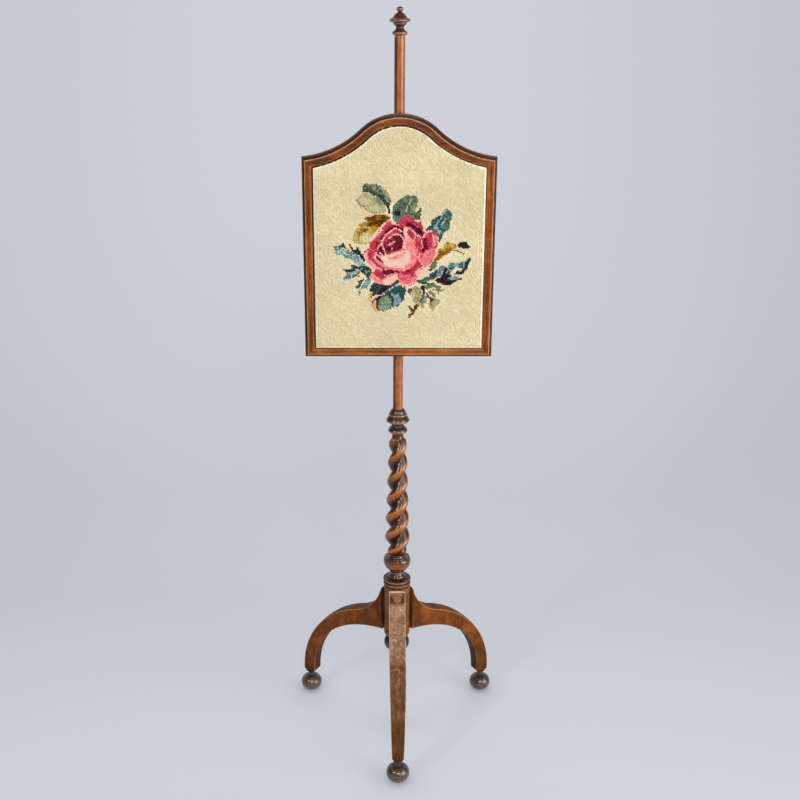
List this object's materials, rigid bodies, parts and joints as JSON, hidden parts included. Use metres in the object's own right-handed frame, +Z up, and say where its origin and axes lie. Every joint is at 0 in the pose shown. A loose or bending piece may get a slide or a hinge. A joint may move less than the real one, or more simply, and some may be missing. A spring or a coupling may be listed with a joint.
{
  "type": "pole screen",
  "caption": "Pole fire screen: needlework panel in a shaped wooden frame that slides and turns on a pole, over a twist-turned column on sabre legs with bun feet.",
  "frame": {"origin": "floor level, in the middle of the box round the part", "axes": "+Z up along the pole, -Y towards the viewer of the needlework, +X to that viewer's right"},
  "size_m": [0.4388, 0.3864, 1.4994],
  "materials": {
    "leg_wood": "french polished walnut, worn paler on the edges",
    "dark_wood": "dark glossy polish",
    "turned_wood": "french polished, dark in the hollows",
    "frame_wood": "satin polished walnut",
    "pine": "bare aged softwood",
    "wool_canvas": "wool cross stitch on canvas",
    "brass": "dull lacquered",
    "iron": "blued"
  },
  "bodies": {
    "stand": {"leg_front": "leg_wood", "leg_left": "leg_wood", "leg_right": "leg_wood", "foot_front": "dark_wood", "foot_left": "dark_wood", "foot_right": "dark_wood", "leg_block": "leg_wood", "pendant_drop": "dark_wood", "twist_column": "turned_wood", "pole": "turned_wood"},
    "finial": {"finial": "turned_wood"},
    "bush": {"slide_bush": "brass"},
    "thumbscrew": {"thumbscrew": "brass"},
    "screen": {"upper_bracket": "brass", "lower_bracket": "brass", "bracket_screws": "brass", "top_rail": "frame_wood", "bottom_rail": "frame_wood", "left_stile": "frame_wood", "right_stile": "frame_wood", "frame_pegs": "frame_wood", "strainer_top": "pine", "strainer_bottom": "pine", "strainer_left": "pine", "strainer_right": "pine", "needlework": "wool_canvas", "canvas_tacks": "iron", "backboard": "pine", "panel_screws": "brass"}
  },
  "joints": [
    {"name": "screen_slide", "type": "slide", "parent": "stand", "child": "bush", "axis": [0, 0, 1], "range_m": [-0.115, 0.135]},
    {"name": "screen_swivel", "type": "hinge", "parent": "bush", "child": "screen", "pos_m": [0, 0.0565, 0.861], "axis": [0, 0, 1], "continuous": true},
    {"name": "thumbscrew_turn", "type": "hinge", "parent": "screen", "child": "thumbscrew", "pos_m": [0, 0.0565, 0.8611], "axis": [0, 1, 0], "range_deg": [0, 360]},
    {"name": "finial_lift", "type": "slide", "parent": "stand", "child": "finial", "axis": [0, 0, 1], "range_m": [0, 0.03]}
  ]
}
